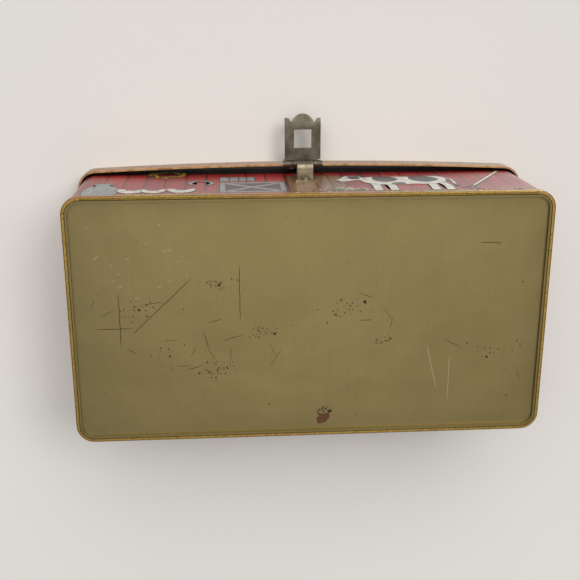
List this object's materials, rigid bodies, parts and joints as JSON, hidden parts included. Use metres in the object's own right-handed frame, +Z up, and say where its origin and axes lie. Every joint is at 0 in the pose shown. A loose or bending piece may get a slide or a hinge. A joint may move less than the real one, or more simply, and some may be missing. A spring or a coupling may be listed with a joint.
{
  "type": "metal lunch box",
  "caption": "Small printed tin lunch box with a hinged shallow lid, a windowed hasp over a looped catch, and a folding carrying handle on the lid.",
  "frame": {"origin": "on the resting plane, under the middle of the box's bottom rim", "axes": "+Z up through the lid; +X along the long side; the hasp and catch face -Y and the hinges face +Y"},
  "size_m": [0.2008, 0.1361, 0.075],
  "materials": {
    "printed_tin": "gloss lithographed print on tin, worn at the edges",
    "printed_lid": "gloss lithographed print on tin, tan at the rim",
    "gold_lacquer": "satin gold lacquer with scratches and rust spots",
    "hasp_steel": "dull dark grey steel with a fine grain",
    "nickel_plate": "bright nickel plate, slightly tarnished",
    "grip_plastic": "moulded plastic with a soft gloss"
  },
  "bodies": {
    "body": {"body_shell": "printed_tin", "bottom_panel": "gold_lacquer", "body_hinge_leaf_left": "nickel_plate", "body_hinge_leaf_right": "nickel_plate", "hinge_pin_left": "nickel_plate", "hinge_pin_right": "nickel_plate", "body_hinge_rivets": "nickel_plate", "catch_staple": "nickel_plate", "catch_backing_plate": "hasp_steel", "catch_rivets": "nickel_plate"},
    "lid": {"lid_shell": "printed_lid", "lid_hinge_leaf_left": "nickel_plate", "lid_hinge_leaf_right": "nickel_plate", "lid_hinge_rivets": "nickel_plate", "hasp_bracket": "hasp_steel", "hasp_backing_plate": "hasp_steel", "hasp_pin": "hasp_steel", "hasp_rivets": "nickel_plate", "handle_bracket_left": "nickel_plate", "handle_bracket_right": "nickel_plate", "handle_backing_plate_left": "hasp_steel", "handle_backing_plate_right": "hasp_steel", "handle_rivets": "nickel_plate"},
    "hasp": {"hasp_plate": "hasp_steel"},
    "handle": {"handle_bail": "nickel_plate", "handle_grip": "grip_plastic"}
  },
  "joints": [
    {"name": "lid_hinge", "type": "hinge", "parent": "body", "child": "lid", "pos_m": [0, 0.05565, 0.0478], "axis": [-1, 0, 0], "range_deg": [0, 180]},
    {"name": "hasp_hinge", "type": "hinge", "parent": "lid", "child": "hasp", "pos_m": [0, -0.05705, 0.0482], "axis": [1, 0, 0], "range_deg": [-35, 90]},
    {"name": "handle_hinge", "type": "hinge", "parent": "lid", "child": "handle", "pos_m": [0, 0, 0.0696], "axis": [1, 0, 0], "range_deg": [0, 180]}
  ]
}
